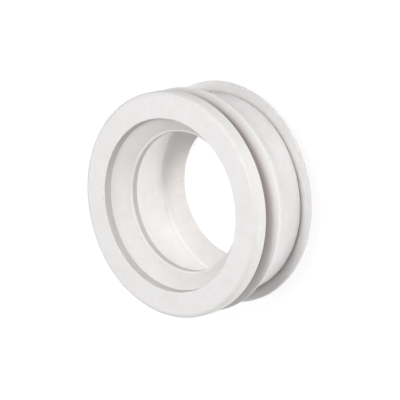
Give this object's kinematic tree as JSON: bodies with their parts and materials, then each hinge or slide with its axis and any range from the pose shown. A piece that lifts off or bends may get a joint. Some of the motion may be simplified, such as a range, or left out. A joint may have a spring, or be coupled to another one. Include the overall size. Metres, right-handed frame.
{
  "type": "rubber flush cone",
  "caption": "White moulded rubber ring with outer sealing fins, a funnel mouth and inner gripping lips, which seals a flush pipe into a toilet pan inlet.",
  "frame": {"origin": "centre of the rear end, on which the ring stands", "axes": "+Z along the ring's axis, from the rear end to the mouth that takes the pipe"},
  "size_m": [0.058, 0.058, 0.0273],
  "materials": {
    "white_rubber": "matte, fine moulded skin"
  },
  "bodies": {
    "root": {"flush_cone": "white_rubber"}
  },
  "joints": []
}
